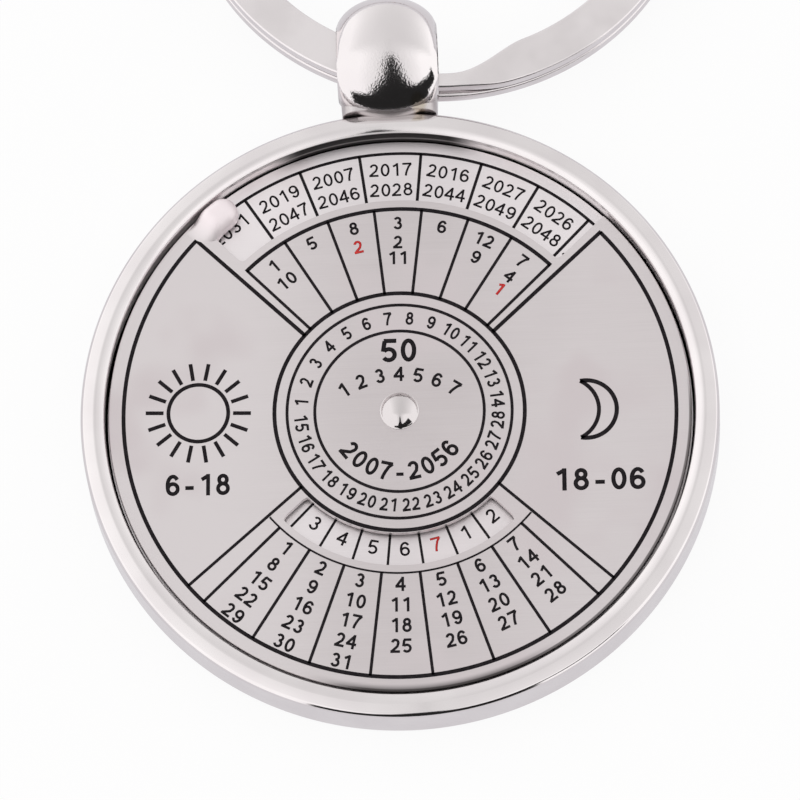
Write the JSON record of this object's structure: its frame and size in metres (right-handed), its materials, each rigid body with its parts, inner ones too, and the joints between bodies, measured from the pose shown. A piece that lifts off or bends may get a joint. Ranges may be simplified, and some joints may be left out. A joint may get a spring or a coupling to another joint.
{
  "type": "perpetual calendar keyring",
  "caption": "Round polished keyring whose satin calendar plate turns inside a raised rim, with a crowned bail at the edge and a flat-wire split ring in it.",
  "frame": {"origin": "centre of the case's flat back", "axes": "+Z out of the calendar face, +Y from the case's centre to the bail, +X to the right when the face is read with the bail at the top"},
  "size_m": [0.0403, 0.0739, 0.0064],
  "materials": {
    "polished_plating": "mirror-polished nickel plating",
    "satin_face": "satin, finely brushed across, with black and red printed numbers",
    "satin_disc": "satin, finely brushed, with black and red printed numbers",
    "washer_steel": "plain rolled spring steel",
    "ring_steel": "plated steel wire, smooth, lightly worn"
  },
  "bodies": {
    "case_body": {"case": "polished_plating", "bail": "polished_plating", "year_disc": "satin_disc", "friction_washer": "washer_steel", "centre_pin": "polished_plating"},
    "plate": {"face_plate": "satin_face"},
    "ring": {"split_ring": "ring_steel"}
  },
  "joints": [
    {"name": "plate_turn", "type": "hinge", "parent": "case_body", "child": "plate", "pos_m": [0, 0, 0.0025], "axis": [0, 0, 1], "continuous": true},
    {"name": "ring_swing", "type": "hinge", "parent": "case_body", "child": "ring", "pos_m": [0, 0.02261, 0.0032], "axis": [0.9694, -0.2453, 0], "range_deg": [-102, 160]}
  ]
}
